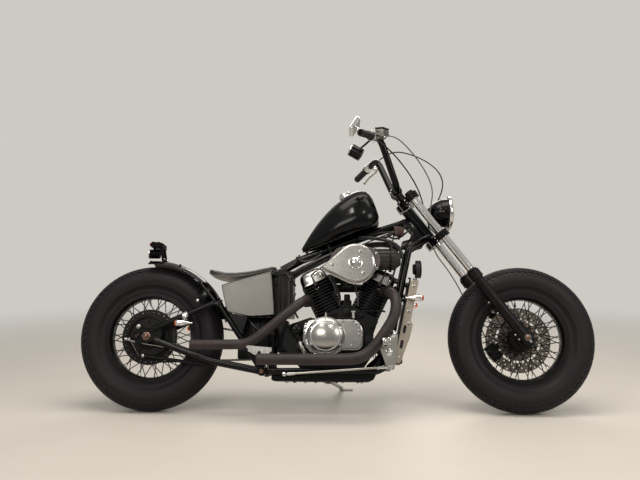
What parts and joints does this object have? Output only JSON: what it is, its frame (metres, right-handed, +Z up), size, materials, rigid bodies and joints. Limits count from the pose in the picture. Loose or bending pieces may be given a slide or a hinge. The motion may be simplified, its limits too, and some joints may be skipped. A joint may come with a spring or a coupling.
{
  "type": "chopper motorcycle",
  "caption": "Long-forked chopper motorcycle with a finned V engine, solo seat, bobbed rear mudguard and wire wheels, leaning on its side stand",
  "frame": {"origin": "middle of the ground rectangle under the machine", "axes": "+X forward to the front wheel, +Y to the rider's left, +Z up from the ground"},
  "size_m": [2.4848, 0.9165, 1.4078],
  "materials": {
    "gloss_black": "gloss black paint",
    "satin_black": "satin black heat-resistant paint",
    "chrome": "polished chrome plate",
    "aluminium": "polished aluminium",
    "steel": "plain turned steel",
    "tyre": "black tyre rubber",
    "rubber": "black grip rubber",
    "seat_leather": "black seat cover",
    "lens": "clear lamp glass",
    "black_plastic": "matte black",
    "red_plastic": "red lamp lens",
    "cable": "black cable sheath"
  },
  "bodies": {
    "chassis": {"air_cleaner": "chrome", "air_cleaner_back": "aluminium", "battery_box": "black_plastic", "belly_pan": "gloss_black", "canister": "satin_black", "carburettor": "aluminium", "clutch_cover": "chrome", "crankcase": "gloss_black", "drive_chain": "steel", "exhaust_hanger": "steel", "foot_controls": "chrome", "frame": "gloss_black", "front_cylinder": "satin_black", "front_exhaust": "satin_black", "fuel_tank": "gloss_black", "horn": "black_plastic", "indicators": "black_plastic", "left_engine_cover": "chrome", "radiator": "black_plastic", "radiator_covers": "aluminium", "rear_axle": "steel", "rear_brake": "satin_black", "rear_cylinder": "satin_black", "rear_exhaust": "satin_black", "rear_mudguard": "gloss_black", "right_engine_cover": "chrome", "rocker_covers": "chrome", "seat": "seat_leather", "side_covers": "aluminium", "sprocket_cover": "aluminium", "swingarm": "gloss_black", "tail_lamp": "red_plastic", "water_pump": "satin_black"},
    "steered_front": {"fork_clamps": "gloss_black", "fork_tubes": "chrome", "fork_sliders": "gloss_black", "handlebar": "gloss_black", "grips": "rubber", "brake_control": "aluminium", "clutch_control": "chrome", "mirror": "chrome", "speedometer": "gloss_black", "headlamp": "gloss_black", "headlamp_lens": "lens", "brake_caliper": "satin_black", "front_axle": "chrome", "control_cables": "cable"},
    "front_wheel_set": {"front_tyre": "tyre", "front_wheel": "satin_black", "front_disc": "steel"},
    "rear_wheel_set": {"rear_tyre": "tyre", "rear_wheel": "satin_black", "rear_sprocket": "steel"},
    "stand": {"side_stand": "steel"}
  },
  "joints": [
    {"name": "steering", "type": "hinge", "parent": "chassis", "child": "steered_front", "pos_m": [0.41354, -0.03559, 0.89371], "axis": [-0.6046, 0.1765, 0.7767], "range_deg": [-35, 35]},
    {"name": "front_wheel_spin", "type": "hinge", "parent": "steered_front", "child": "front_wheel_set", "pos_m": [0.8925, -0.16073, 0.34289], "axis": [0, 0.9751, -0.2215], "continuous": true},
    {"name": "rear_wheel_spin", "type": "hinge", "parent": "chassis", "child": "rear_wheel_set", "pos_m": [-0.8925, -0.16073, 0.34289], "axis": [0, 0.9751, -0.2215], "continuous": true},
    {"name": "side_stand_fold", "type": "hinge", "parent": "chassis", "child": "stand", "pos_m": [-0.0345, -0.10567, 0.12939], "axis": [0, 0.3588, 0.9334], "range_deg": [0, 88]}
  ]
}
